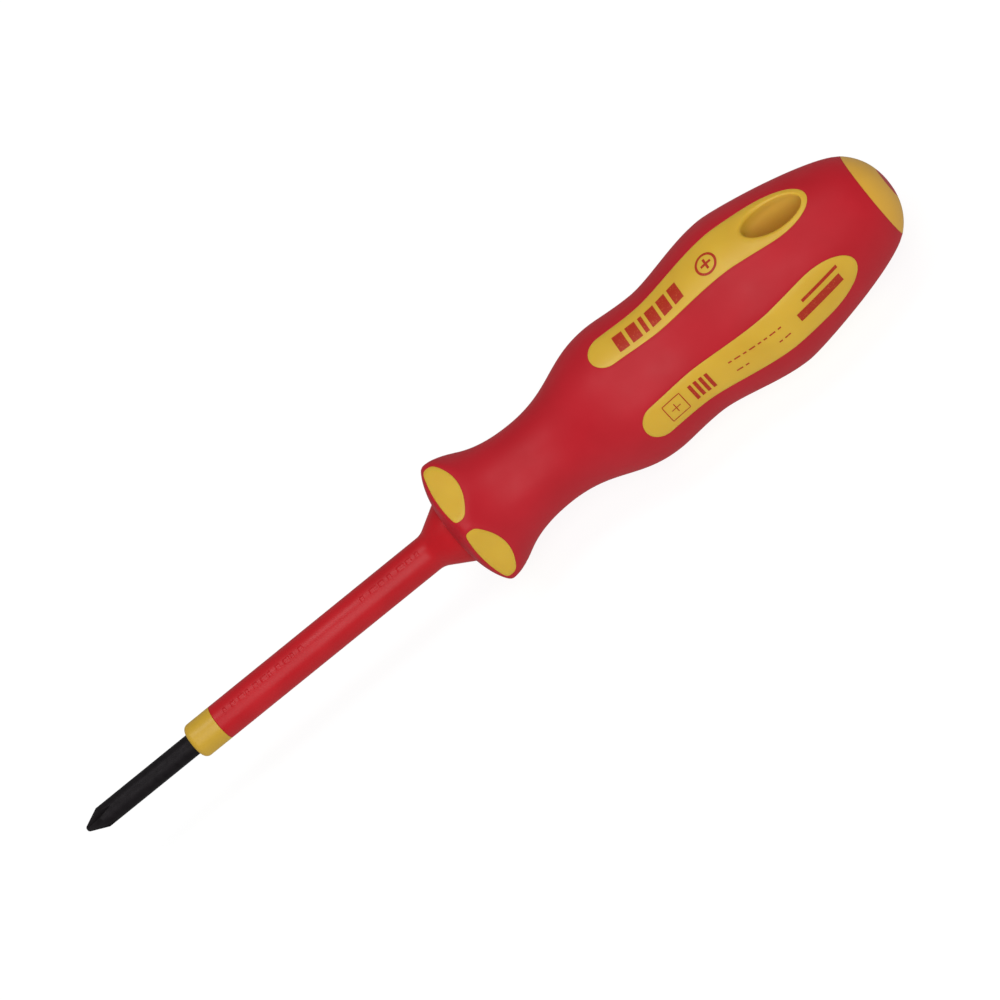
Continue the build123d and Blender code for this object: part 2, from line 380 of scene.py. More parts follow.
@dataclass
class Draft:
    """A mesh while it is built, in millimetres."""

    points: list[Vector] = field(default_factory=list)
    faces: list[tuple[int, ...]] = field(default_factory=list)

    def add(self, points: Iterable[Vector]) -> list[int]:
        """Add points and return their numbers."""
        first = len(self.points)
        self.points.extend(points)
        return list(range(first, len(self.points)))

    def bridge(self, one: Sequence[int], two: Sequence[int], closed: bool = True) -> None:
        """Join two rows of as many points with four-sided faces.

        Args:
            one: Numbers of the first row's points.
            two: Numbers of the second row's points.
            closed: Whether the rows are rings.
        """
        count = len(one)
        for i in range(count if closed else count - 1):
            j = (i + 1) % count
            self.faces.append((one[i], one[j], two[j], two[i]))

    def fan(self, ring: Sequence[int], centre: int) -> None:
        """Close a ring with triangles to one point."""
        for i, number in enumerate(ring):
            self.faces.append((number, ring[(i + 1) % len(ring)], centre))

    def join(self, other: "Draft") -> None:
        """Take in another draft's faces."""
        first = len(self.points)
        self.points.extend(other.points)
        self.faces.extend(tuple(n + first for n in face) for face in other.faces)

    def clean(self) -> "Draft":
        """The draft without the points that no face uses."""
        used = sorted({n for face in self.faces for n in face})
        new = {old: i for i, old in enumerate(used)}
        return Draft([self.points[n] for n in used], [tuple(new[n] for n in f) for f in self.faces])

    def piece(self, name: str, material: bpy.types.Material, slot: str, *nodes: str,
              sharp: float = 38.0) -> bpy.types.Object:
        """Turn the draft into an object that rides on the tool.

        Args:
            name: The object's name.
            material: Its finish.
            slot: Not used.
            nodes: Frame nodes that it stands for.
            sharp: Edges that turn by more degrees than this stay sharp.

        Returns:
            The new object.
        """
        mesh = bpy.data.meshes.new(name)
        mesh.from_pydata([p * MM for p in self.points], [], self.faces)
        work = bmesh.new()
        work.from_mesh(mesh)
        bmesh.ops.remove_doubles(work, verts=work.verts, dist=WELD)
        bmesh.ops.dissolve_degenerate(work, edges=work.edges, dist=SLIVER)
        bmesh.ops.recalc_face_normals(work, faces=work.faces)
        work.to_mesh(mesh)
        work.free()
        mesh.polygons.foreach_set("use_smooth", [True] * len(mesh.polygons))
        mesh.set_sharp_from_angle(angle=math.radians(sharp))
        mesh.materials.append(material)
        made = bpy.data.objects.new(name, mesh)
        bpy.context.scene.collection.objects.link(made)
        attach(made, "root")
        if nodes:
            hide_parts(*nodes)
        LOG.info("%s: %d points, %d faces", name, len(mesh.vertices), len(mesh.polygons))
        return made


def rounded(corners: Sequence[tuple[float, float, float]], steps: int = 10) -> list[Point2]:
    """Round the corners of an outline.

    Args:
        corners: Along, radius and rounding of each corner, in order. The ends are not rounded.
        steps: Points in each rounding, less one.

    Returns:
        Points of the rounded outline.
    """
    made: list[Point2] = []
    for i, (x, y, radius) in enumerate(corners):
        here = Vector((x, y))
        if radius <= 0 or i in (0, len(corners) - 1):
            made.append((x, y))
            continue
        back = (Vector(corners[i - 1][:2]) - here).normalized()
        on = (Vector(corners[i + 1][:2]) - here).normalized()
        half = back.angle(on) / 2
        reach = radius / math.tan(half)
        middle = here + (back + on).normalized() * (radius / math.sin(half))
        start = here + back * reach - middle
        turn = start.angle_signed(here + on * reach - middle)
        for step in range(steps + 1):
            arm = start.copy()
            arm.rotate(Matrix.Rotation(-turn * step / steps, 2))
            made.append((middle.x + arm.x, middle.y + arm.y))
    return made


def lathe(outline: Sequence[Point2], sides: int = 96) -> Draft:
    """Turn a closed outline round the tool's axis.

    Args:
        outline: Along and radius of each point. None lies on the axis.
        sides: Faces round the axis.

    Returns:
        The turned draft.
    """
    made = Draft()
    rings = [made.add(polar(x, radius, math.tau * i / sides) for i in range(sides)) for x, radius in outline]
    for one, two in zip(rings, rings[1:] + rings[:1]):
        made.bridge(one, two)
    return made


# --------------------------------------------------------------------------------------
# Handle
# --------------------------------------------------------------------------------------


@dataclass(frozen=True)
class Level:
    """A place where the handle's outline runs level, with how far it holds level each way."""

    at: float
    radius: float
    lead: float
    reach: float


def bezier(a: Point2, b: Point2, c: Point2, d: Point2, steps: int) -> list[Point2]:
    """Points of a cubic curve, without its first."""
    made = []
    for i in range(1, steps + 1):
        t = i / steps
        s = 1 - t
        weights = (s**3, 3 * s * s * t, 3 * s * t * t, t**3)
        made.append(tuple(sum(w * p[k] for w, p in zip(weights, (a, b, c, d))) for k in (0, 1)))
    return made


@dataclass
class HandleForm:
    """The handle's outside: a turned outline cut by five hilt flats.

    A point of it is named by u, the distance along the outline from the sheath's cone, and the
    angle round the tool.
    """

    face_inner: float = 4.6
    face_radius: float = 5.0
    lean: Point2 = (0.2, 1.8)            # way that the outline leaves its front
    levels: tuple[Level, ...] = (
        Level(2.65, 9.5, 0.9, 2.5),      # hilt rim
        Level(14.0, 6.3, 8.0, 7.1),      # waist
        Level(29.4, 9.7, 6.6, 1.6),      # front bulge
        Level(36.1, 9.3, 2.8, 3.4),      # dip
        Level(48.9, 11.2, 4.6, 2.4),     # palm
    )
    seat_radius: float = 6.2
    seat_lead: float = 3.0
    seat_slope: float = 0.85
    flat_radius: float = 8.1
    flat_turn: float = -3.1              # degrees round the tool of the first flat
    flat_blend: float = 0.5              # softens the flats' edges
    steps: int = 60                      # in each stretch of the outline
    probe: float = 0.02                  # between the points that a direction is taken from
    mean_radius: float = 8.0             # turns angles into lengths
    tries: int = 12                      # at the angle over a place
    steepest: float = 0.98               # most that a place may lie aside, as a share of the radius

    def __post_init__(self) -> None:
        """Lay the outline out by its length."""
        front = low_x("soft_grip")
        self.face = front - FACE_BACK
        self.seat = high_x("soft_grip")
        points = [(front, self.face_inner), (front, self.face_radius)]
        leaving = (front + self.lean[0], self.face_radius + self.lean[1])
        for level in self.levels:
            place = (self.face + level.at, level.radius)
            arriving = (place[0] - level.lead, place[1])
            points += bezier(points[-1], leaving, arriving, place, self.steps)
            leaving = (place[0] + level.reach, place[1])
        seat = (self.seat, self.seat_radius)
        arriving = (seat[0] - self.seat_lead, seat[1] + self.seat_lead * self.seat_slope)
        points += bezier(points[-1], leaving, arriving, seat, self.steps)
        self.outline = np.array(points)
        lengths = np.hypot(*np.diff(self.outline, axis=0).T)
        self.run = np.concatenate([[0.0], np.cumsum(lengths)])
        self.length = float(self.run[-1])

    def u_at(self, x: float) -> float:
        """Length along the outline where it is at x, behind the hilt's face."""
        return float(np.interp(x, self.outline[1:, 0], self.run[1:]))

    def point(self, u: float, angle: float) -> Vector:
        """A point of the outside."""
        x = float(np.interp(u, self.run, self.outline[:, 0]))
        radius = float(np.interp(u, self.run, self.outline[:, 1]))
        if x < self.face + self.levels[1].at:
            off = (angle - math.radians(self.flat_turn) + SIDE_STEP / 2) % SIDE_STEP - SIDE_STEP / 2
            flat = self.flat_radius / math.cos(off)
            near = max(self.flat_blend - abs(radius - flat), 0.0) / self.flat_blend
            radius = min(radius, flat) - near * near * self.flat_blend / 4
        return polar(x, radius, angle)

    def normal(self, u: float, angle: float) -> Vector:
        """The way out of the outside at a point of it."""
        low, high = max(u - self.probe, 0.0), min(u + self.probe, self.length)
        along = self.point(high, angle) - self.point(low, angle)
        turn = self.probe / self.mean_radius
        across = self.point(u, angle + turn) - self.point(u, angle - turn)
        return along.cross(across).normalized()

    def over(self, x: float, across: float, side: float) -> tuple[float, float]:
        """Find the outside over a place in a side's own flat.

        Args:
            x: Along the tool.
            across: Sideways from the side's middle line.
            side: Angle of the side.

        Returns:
            u and angle.
        """
        u = self.u_at(x)
        off = 0.0
        for _ in range(self.tries):
            reach = self.point(u, side + off)
            share = across / math.hypot(reach.y, reach.z)
            off = math.asin(max(-self.steepest, min(self.steepest, share)))
        return u, side + off


@dataclass
class Opening:
    """A closed outline on one side of the handle, drawn in that side's own flat."""

    side: float
    outline: np.ndarray
    rings_out: tuple[float, ...]
    rings_in: tuple[float, ...] = ()
    shares: np.ndarray | None = None     # how much of its rounding each point of the outline has

    def share(self, number: int) -> float:
        """How much of its rounding a point of the outline has."""
        return 1.0 if self.shares is None else float(self.shares[number])

    def ring(self, distance: float) -> np.ndarray:
        """The outline moved outwards, or inwards by a negative distance."""
        ahead = np.roll(self.outline, -1, axis=0) - np.roll(self.outline, 1, axis=0)
        out = np.stack([ahead[:, 1], -ahead[:, 0]], 1)
        out /= np.linalg.norm(out, axis=1)[:, None]
        shares = np.array([self.share(i) for i in range(len(self.outline))])
        return self.outline + out * (shares * distance)[:, None]

    def inwards(self) -> Vector:
        """Straight in towards the axis, from the side's middle line."""
        return polar(0.0, -1.0, self.side)


def even(points: Sequence[Point2], spacing: float, soften: float = 0.0) -> np.ndarray:
    """Space a closed outline's points evenly, anticlockwise, and soften its corners.

    Args:
        points: The outline, in order.
        spacing: Distance between the new points.
        soften: Size of the corner softening.

    Returns:
        The new points.
    """
    ring = np.array(list(points))
    area = np.sum(ring[:, 0] * np.roll(ring[:, 1], -1) - np.roll(ring[:, 0], -1) * ring[:, 1])
    if area < 0:
        ring = ring[::-1]
    loop = np.vstack([ring, ring[:1]])
    run = np.concatenate([[0.0], np.cumsum(np.hypot(*np.diff(loop, axis=0).T))])
    count = max(12, round(run[-1] / spacing))
    where = np.arange(count) / count * run[-1]
    made = np.stack([np.interp(where, run, loop[:, k]) for k in (0, 1)], 1)
    for _ in range(round((soften / spacing) ** 2 * 4)):  # four passes soften by about one spacing
        made = made / 2 + (np.roll(made, 1, 0) + np.roll(made, -1, 0)) / 4
    return made


@dataclass
class GripStrip:
    """Outline of one of the five strips of the handle body that show through the grip."""

    end: float
    start: float = 27.9
    front_half: float = 2.42
    wide_at: float = 55.1
    wide_half: float = 3.47
    steps: tuple[int, int, int] = (24, 60, 40)       # in half the nose, a side and half the end

    def outline(self, face: float) -> list[Point2]:
        """Round nose, slowly widening sides and a long oval end.

        Args:
            face: Where the hilt's front face is.

        Returns:
            The closed outline.
        """
        nose = self.start + self.front_half
        nose_steps, side_steps, end_steps = self.steps
        half: list[Point2] = []
        for i in range(nose_steps):
            a = math.pi - math.pi / 2 * i / nose_steps
            half.append((nose + self.front_half * math.cos(a), self.front_half * math.sin(a)))
        for i in range(side_steps):
            t = i / side_steps
            ease = t * t * (3 - 2 * t)
            half.append((nose + (self.wide_at - nose) * t,
                         self.front_half + (self.wide_half - self.front_half) * ease))
        for i in range(end_steps):
            a = math.pi / 2 * (1 - i / end_steps)
            half.append((self.wide_at + (self.end - self.wide_at) * math.cos(a),
                         self.wide_half * math.sin(a)))
        half.append((self.end, 0.0))
        both = half + [(x, -y) for x, y in reversed(half[1:-1])]
        return [(face + x, y) for x, y in both]


@dataclass
class HiltWindow:
    """Outline of one of the five windows in the hilt's flats."""

    front: float = 1.65
    length: float = 3.65
    front_bow: float = 0.5
    rear_bow: float = 1.7
    half: float = 4.76
    steps: int = 24                      # in half its width

    def outline(self, face: float) -> list[Point2]:
        """A flat front edge, a rounder rear edge and cut ends.

        Args:
            face: Where the hilt's front face is.

        Returns:
            The closed outline.
        """
        rear = self.front + self.length
        across = [self.half * (i / self.steps - 1) for i in range(2 * self.steps + 1)]
        front = [(self.front + self.front_bow * (y / self.half) ** 2, y) for y in across]
        back = [(rear - self.rear_bow * (y / self.half) ** 2, y) for y in reversed(across)]
        return [(face + x, y) for x, y in front + back]


@dataclass
class HangingHole:
    """Oval hole through the handle, wider at its mouth in the first strip."""

    length: float = 8.3
    width: float = 4.6
    draft: float = 0.2
    depth: float = 11.2                  # over which it narrows
    steps: int = 22                      # down its wall
    near: float = 1.01                   # share of the oval within which a face is its wall

    def __post_init__(self) -> None:
        """Take the hole's middle from the frame's opening."""
        box = frame["record"]["physics"]["openings"][0]["box_m"]
        self.x = (box[0][0] + box[1][0]) / 2 / MM

    def halves(self, z: float) -> Point2:
        """Half length and half width at a height."""
        cut = self.draft * (1 - max(0.0, min(1.0, z / self.depth)))
        return self.length / 2 - cut, self.width / 2 - cut

    def lines(self, place: Vector) -> bool:
        """Whether a place is on the hole's wall."""
        long, wide = self.halves(place.z)
        return math.hypot((place.x - self.x) / long, place.y / wide) < self.near

    def outline(self, z: float, count: int = 72) -> np.ndarray:
        """Oval at a height, anticlockwise."""
        long, wide = self.halves(z)
        turns = [math.tau * i / count for i in range(count)]
        return np.array([(self.x + long * math.cos(a), wide * math.sin(a)) for a in turns])


@dataclass
class Handle:
    """The moulded handle: a hard body and a soft grip, whose outside is meshed once for both."""

    form: HandleForm = field(default_factory=HandleForm)
    holed_strip: GripStrip = field(default_factory=lambda: GripStrip(61.95))
    plain_strip: GripStrip = field(default_factory=lambda: GripStrip(61.6))
    window: HiltWindow = field(default_factory=HiltWindow)
    hole: HangingHole = field(default_factory=HangingHole)
    skin: float = GRIP_WALL
    grip_edge: float = 0.055             # rounding of the grip at its windows
    body_edge: float = 0.04              # rounding of the body's strips
    body_low: float = 0.008              # how far the strips lie under the grip's outside
    mouth_edge: float = 0.55             # rounding of the hanging hole's mouth, on its softest side
    mouth_least: float = 0.3             # share of that rounding at its crisp end
    mouth_soft: float = 20.0             # degrees round the mouth of its softest side
    body_under: float = 0.02             # how far the covered body lies under the grip
    strip_step: float = 0.42             # between points of a strip's outline
    window_step: float = 0.3
    window_soften: float = 0.35
    hilt_end: float = 9.0                # rows are closer up to here
    hilt_row: float = 0.24
    row: float = 0.62
    last_gap: float = 0.9                # rows stop this far before the end
    edge_rows: Point2 = (0.03, 0.1)      # extra rows, from each end
    columns: int = 90
    grip_rings: tuple[float, ...] = (0.0, 0.01, 0.028)    # rings of points across the grip's rounding
    body_rings: tuple[float, ...] = (0.008, 0.02)
    mouth_rings: tuple[float, ...] = (0.0, 0.05, 0.16, 0.33)
    ring_gap: float = 0.2                # least distance of a row's point from an opening's ring
    mesh_near: float = 1e-7              # points closer than this are meshed as one

    def __post_init__(self) -> None:
        """Lay out the openings and mesh the outside."""
        face = self.form.face
        fine = (*self.grip_rings, self.grip_edge)
        inner = (*self.body_rings, self.body_edge)
        holed = even(self.holed_strip.outline(face), self.strip_step)
        plain = even(self.plain_strip.outline(face), self.strip_step)
        window = even(self.window.outline(face), self.window_step, self.window_soften)
        mouth = (*self.mouth_rings, self.mouth_edge)
        self.openings = [Opening(0.0, holed, fine, inner)]
        self.openings += [Opening(SIDE_STEP * k, plain, fine, inner) for k in range(1, SIDES)]
        turn = math.radians(self.form.flat_turn)
        self.openings += [Opening(SIDE_STEP * k + turn, window, fine, inner) for k in range(SIDES)]
        oval = self.hole.outline(self.hole.depth)
        turns = np.arctan2(oval[:, 1], oval[:, 0] - self.hole.x)
        soft = 0.5 - 0.5 * np.cos(turns - math.radians(self.mouth_soft))
        self.mouth = Opening(0.0, oval, mouth, (), self.mouth_least + (1 - self.mouth_least) * soft)
        self.exit = Opening(math.pi, self.hole.outline(0.0), fine)
        self.openings += [self.mouth, self.exit]
        self.mesh_outside()

    def rows(self) -> list[float]:
        """Places along the outline, closer where it turns sharply or ends."""
        made = [0.0, *self.edge_rows, self.grip_edge]
        tail = self.form.length
        while made[-1] < tail - self.last_gap:
            made.append(made[-1] + (self.hilt_row if made[-1] < self.hilt_end else self.row))
        return made[:-1] + [tail - self.grip_edge, *(tail - row for row in self.edge_rows[::-1]), tail]

    def end_row(self, end: float) -> list[int]:
        """Points of the mesh at one end of the outline, in order round the tool."""
        row = [n for n, (u, _) in enumerate(self.where) if abs(u - end) < SAME and self.gap[n][0] < 0]
        return sorted(row, key=lambda n: self.where[n][1])

    def flat(self, u: float, angle: float) -> Point2:
        """Where a point of the outside lies in the plane that is meshed."""
        return u, angle * self.form.mean_radius

    def mesh_outside(self) -> None:
        """Mesh the outside as one unrolled sheet, with every opening's rings as its edges."""
        low = -SIDE_STEP / 2 + math.radians(self.form.flat_turn) / 2
        self.where: list[tuple[float, float]] = []        # u and angle of each point
        self.gap: list[tuple[int, float, float]] = []     # its opening, distance from it and share
        edges: list[tuple[int, int]] = []
        rings: list[np.ndarray] = []
        self.loops: list[list[int]] = []
        for number, opening in enumerate(self.openings):
            for distance in [*opening.rings_out, *(-d for d in opening.rings_in)]:
                first = len(self.where)
                ring = opening.ring(distance)
                for i, (x, across) in enumerate(ring):
                    u, angle = self.form.over(x, across, opening.side)
                    angle = (angle - low) % math.tau + low
                    self.where.append((u, angle))
                    self.gap.append((number, distance, opening.share(i)))
                loop = list(range(first, len(self.where)))
                edges += [(n, loop[(i + 1) % len(loop)]) for i, n in enumerate(loop)]
                rings.append(np.array([self.flat(*self.where[n]) for n in loop]))
                if distance == 0.0:
                    self.loops.append(loop)
        ring_points = np.vstack(rings)
        rows = self.rows()
        for row, u in enumerate(rows):
            for column in range(self.columns + 1):
                angle = low + math.tau * column / self.columns
                spot = np.array(self.flat(u, angle))
                edge = row in (0, len(rows) - 1) or column in (0, self.columns)
                if not edge and np.min(np.abs(ring_points - spot).max(1)) < self.ring_gap:
                    continue
                self.where.append((u, angle))
                self.gap.append((-1, math.inf, 1.0))
        flats = [Vector(self.flat(u, angle)) for u, angle in self.where]
        points, _, faces, sources, _, _ = delaunay_2d_cdt(flats, edges, [], 0, self.mesh_near, True)
        if not all(sources):
            crossed = [tuple(p) for p, ids in zip(points, sources) if not ids]
            raise ValueError(f"outlines cross at {crossed[:4]}")
        self.triangles = np.array([[sources[n][0] for n in face] for face in faces])
        flat = np.array([self.flat(*w) for w in self.where])
        middles = flat[self.triangles].mean(1)
        self.region = np.full(len(self.triangles), -1)
        for number, loop in enumerate(self.loops):
            self.region[inside(middles, flat[loop])] = number
        self.outer = [self.form.point(u, angle) for u, angle in self.where]
        self.out = [self.form.normal(u, angle) for u, angle in self.where]

    @staticmethod
    def drop(distance: float, rounding: float) -> float:
        """How far a rounded edge has fallen at a distance from where it ends."""
        if distance >= rounding:
            return 0.0
        return rounding - math.sqrt(rounding**2 - (rounding - distance) ** 2)

    def triangles_in(self, keep: Callable[[int], bool]) -> list[tuple[int, ...]]:
        """Triangles whose region is wanted."""
        return [tuple(t) for t, r in zip(self.triangles.tolist(), self.region.tolist()) if keep(r)]

    def sink(self, number: int, depth: float) -> Vector:
        """A point under the outside: straight in below an opening's edge, square in elsewhere."""
        opening, distance, _ = self.gap[number]
        if opening >= 0 and distance == 0.0:
            return self.outer[number] + self.openings[opening].inwards() * depth
        return self.outer[number] - self.out[number] * depth

    def grip(self, finish: bpy.types.Material) -> bpy.types.Object:
        """The soft grip: a closed shell with a rounded edge at each opening and each end."""
        made = Draft()
        skin = self.triangles_in(lambda region: region == -1)
        top: list[Vector] = []
        for number, (u, _) in enumerate(self.where):
            _, distance, _ = self.gap[number]
            ends = min(u, self.form.length - u)
            fall = max(self.drop(abs(distance), self.grip_edge), self.drop(ends, self.grip_edge / 2))
            top.append(self.outer[number] - self.out[number] * fall)
        made.add(top)
        under = made.add(self.sink(number, self.skin) for number in range(len(self.where)))
        first = under[0]
        made.faces = skin + [tuple(n + first for n in reversed(face)) for face in skin]
        for loop in self.loops:
            if self.openings[self.gap[loop[0]][0]] is not self.mouth:
                made.bridge(loop, [n + first for n in loop])
        for end in (0.0, self.form.length):
            row = self.end_row(end)
            made.bridge(row, [n + first for n in row], closed=False)
        return made.clean().piece("soft_grip_skin", finish, "soft_grip", "soft_grip")

    def body(self, finish: bpy.types.Material, lining: bpy.types.Material) -> bpy.types.Object:
        """The hard body: strips and windows just under the grip's outside, and the hole's wall."""
        made = Draft()
        mouth, exit_ = len(self.openings) - 2, len(self.openings) - 1
        shows = range(len(self.openings) - 2)
        top: list[Vector] = []
        for number in range(len(self.where)):
            opening, distance, share = self.gap[number]
            edge = self.mouth_edge if opening == mouth else self.body_edge
            fall = self.drop(abs(distance), edge) * share + self.body_low
            top.append(self.outer[number] - self.out[number] * fall)
        made.add(top)
        under = made.add(self.sink(number, self.skin + self.body_under) for number in range(len(self.where)))
        first = under[0]
        made.faces = self.triangles_in(lambda region: region in shows)
        made.faces += [tuple(n + first for n in face) for face in self.triangles_in(lambda r: r == -1)]
        for number in shows:
            made.bridge(self.loops[number], [n + first for n in self.loops[number]])
        front = low_x("soft_grip") + self.skin
        for end, centre in ((0.0, front), (self.form.length, self.form.seat)):
            row = self.end_row(end)
            middle = made.add([Vector((centre, 0, 0))])[0]
            for one, two in zip(row, row[1:]):
                made.faces.append((one + first, two + first, middle))
        self.line_hole(made, self.loops[mouth], [n + first for n in self.loops[exit_]])
        body = made.clean().piece("handle_body_moulding", finish, "handle_body", "handle_body")
        body.data.materials.append(lining)
        for face in body.data.polygons:
            face.material_index = int(self.hole.lines(face.center / MM))
        return body

    def line_hole(self, made: Draft, mouth: list[int], exit_: list[int]) -> None:
        """Line the hanging hole from its mouth to its exit."""
        count, steps = len(mouth), self.hole.steps
        far = [exit_[-i % count] for i in range(count)]
        before = mouth
        for step in range(1, steps):
            ring = []
            for i, (top, low) in enumerate(zip(mouth, far)):
                z = made.points[top].z + (made.points[low].z - made.points[top].z) * step / steps
                long, wide = self.hole.halves(z)
                turn = math.tau * i / count
                ring.append(Vector((self.hole.x + long * math.cos(turn), wide * math.sin(turn), z)))
            here = made.add(ring)
            made.bridge(before, here)
            before = here
        made.bridge(before, far)


def inside(points: np.ndarray, loop: np.ndarray) -> np.ndarray:
    """Which points lie in a closed loop, by counting how often a line out of each crosses it."""
    x, y = points[:, 0], points[:, 1]
    odd = np.zeros(len(points), bool)
    for (x0, y0), (x1, y1) in zip(loop, np.roll(loop, -1, axis=0)):
        spans = (y0 > y) != (y1 > y)
        if y0 != y1:
            odd ^= spans & (x < (x1 - x0) * (y - y0) / (y1 - y0) + x0)
    return odd


@dataclass(frozen=True)
class Stroke:
    """One printed line on a strip, drawn as with a flat pen."""

    path: tuple[Point2, ...]             # along the tool and across the strip
    width: float
    closed: bool = False


def bar(x: float, low: float, high: float, width: float) -> Stroke:
    """A straight mark across a strip."""
    return Stroke(((x, low), (x, high)), width)


def dash(start: float, end: float, across: float, width: float) -> Stroke:
    """A straight mark along a strip."""
    return Stroke(((start, across), (end, across)), width)


def plus(x: float, across: float, half: float, gap: float, width: float) -> list[Stroke]:
    """A plus whose arms along the strip stop short of its upright."""
    return [bar(x, across - half, across + half, width),
            dash(x - half, x - gap, across, width), dash(x + gap, x + half, across, width)]


def circle(x: float, across: float, radius: float, width: float, steps: int = 28) -> Stroke:
    """A ring."""
    turns = [math.tau * i / steps for i in range(steps)]
    return Stroke(tuple((x + radius * math.cos(a), across + radius * math.sin(a)) for a in turns),
                  width, True)


class PrintedStrip(Enum):
    """The strips that carry print, by how many sides they lie round from the first."""

    HOLED = 0
    BESIDE = -1

    @property
    def side(self) -> float:
        """Angle of the strip round the tool."""
        return self.value * SIDE_STEP


@dataclass
class Print:
    """Plain marks printed on two of the grip strips. Places along are from the hilt's face."""

    handle: Handle
    low: float = 0.025                   # the ink's underside, under the handle's outside
    high: float = 0.002                  # the ink's top, under the handle's outside
    spacing: float = 0.25
    bars_at: float = 31.8
    bars: tuple[float, ...] = (1.5, 1.5, 0.6, 1.5, 1.5, 1.5)     # widths of the bold bars
    bars_across: Point2 = (-1.7, 0.9)
    bars_gap: float = 0.5
    ring: Point2 = (47.0, -0.6)          # middle, along and across
    ring_radius: float = 1.4
    ring_plus: Point2 = (0.78, 0.17)     # half its size, and the gap at its upright
    ring_line: float = 0.34
    frame_at: Point2 = (31.4, 34.2)
    frame_half: float = 1.35
    frame_plus: Point2 = (0.7, 0.07)
    frame_line: float = 0.13
    block: tuple[float, ...] = (35.7, 36.55, 37.4, 38.25)        # places of its four bars
    block_half: float = 1.25
    block_line: float = 0.5
    dash_rows: tuple[tuple[float, float, tuple[float, ...]], ...] = (   # start, across, lengths
        (41.4, 0.75, (0.5, 0.9, 0.5, 0.9, 0.5, 0.5, 0.9, 0.5)),
        (41.6, -0.95, (0.9, 0.5)),
        (48.0, -0.95, (0.5, 0.9)),
    )
    dash_gap: float = 0.4
    dash_line: float = 0.2
    long_bars: tuple[tuple[float, float, float, float], ...] = (        # start, end, across, width
        (51.8, 59.0, -0.2, 1.25), (53.4, 59.4, 1.35, 0.45))

    def plate(self, stroke: Stroke, side: float) -> Draft:
        """One stroke as a thin plate that follows the strip.

        Args:
            stroke: The line.
            side: Angle of its strip.

        Returns:
            A closed draft.
        """
        path = np.array(stroke.path + (stroke.path[:1] if stroke.closed else ()))
        run = np.concatenate([[0.0], np.cumsum(np.hypot(*np.diff(path, axis=0).T))])
        count = max(2, round(run[-1] / self.spacing) + 1)
        where = np.linspace(0.0, run[-1], count)[:-1 if stroke.closed else None]
        spots = np.stack([np.interp(where, run, path[:, k]) for k in (0, 1)], 1)
        if stroke.closed:
            ahead = np.roll(spots, -1, 0) - np.roll(spots, 1, 0)
        else:
            ahead = np.gradient(spots, axis=0)
        aside = np.stack([-ahead[:, 1], ahead[:, 0]], 1)
        aside /= np.linalg.norm(aside, axis=1)[:, None]
        lanes = max(1, round(stroke.width / self.spacing))
        made = Draft()
        rows = []
        for spot, way in zip(spots, aside):
            top, under = [], []
            for lane in range(lanes + 1):
                x, across = spot + way * stroke.width * (lane / lanes - 0.5)
                u, angle = self.handle.form.over(x, across, side)
                point, out = self.handle.form.point(u, angle), self.handle.form.normal(u, angle)
                top.append(point - out * self.high)
                under.append(point - out * self.low)
            rows.append(made.add(top + under[::-1]))
        pairs = list(zip(rows, rows[1:]))
        if stroke.closed:
            pairs.append((rows[-1], rows[0]))
        for one, two in pairs:
            made.bridge(one, two)
        if not stroke.closed:
            for row in (rows[0], rows[-1]):
                for lane in range(lanes):
                    made.faces.append((row[lane], row[lane + 1], row[-lane - 2], row[-lane - 1]))
        return made

    def holed_strip(self) -> list[Stroke]:
        """A row of bold bars, and a ring with a plus for a cross tip."""
        face = self.handle.form.face
        made: list[Stroke] = []
        x = face + self.bars_at
        for width in self.bars:
            made.append(bar(x + width / 2, *self.bars_across, width))
            x += width + self.bars_gap
        middle, aside = face + self.ring[0], self.ring[1]
        made.append(circle(middle, aside, self.ring_radius, self.ring_line))
        return made + plus(middle, aside, *self.ring_plus, self.ring_line)

    def strip_beside(self) -> list[Stroke]:
        """A framed plus, four bars, rows of thin dashes, and a pair of long bars."""
        face = self.handle.form.face
        start, end = (face + x for x in self.frame_at)
        half = self.frame_half
        made = [Stroke(((start, -half), (end, -half), (end, half), (start, half)), self.frame_line, True)]
        made += plus((start + end) / 2, 0.0, *self.frame_plus, self.frame_line)
        made += [bar(face + x, -self.block_half, self.block_half, self.block_line) for x in self.block]
        for at, across, lengths in self.dash_rows:
            x = face + at
            for length in lengths:
                made.append(dash(x, x + length, across, self.dash_line))
                x += length + self.dash_gap
        return made + [dash(face + a, face + b, *rest) for a, b, *rest in self.long_bars]

    def build(self, finish: bpy.types.Material) -> bpy.types.Object:
        """Print both strips."""
        made = Draft()
        for strip, strokes in ((PrintedStrip.HOLED, self.holed_strip()),
                               (PrintedStrip.BESIDE, self.strip_beside())):
            for stroke in strokes:
                made.join(self.plate(stroke, strip.side))
        return made.piece("strip_prints", finish, "soft_grip")


# --------------------------------------------------------------------------------------
# Blade, sheath and kept nodes
# --------------------------------------------------------------------------------------


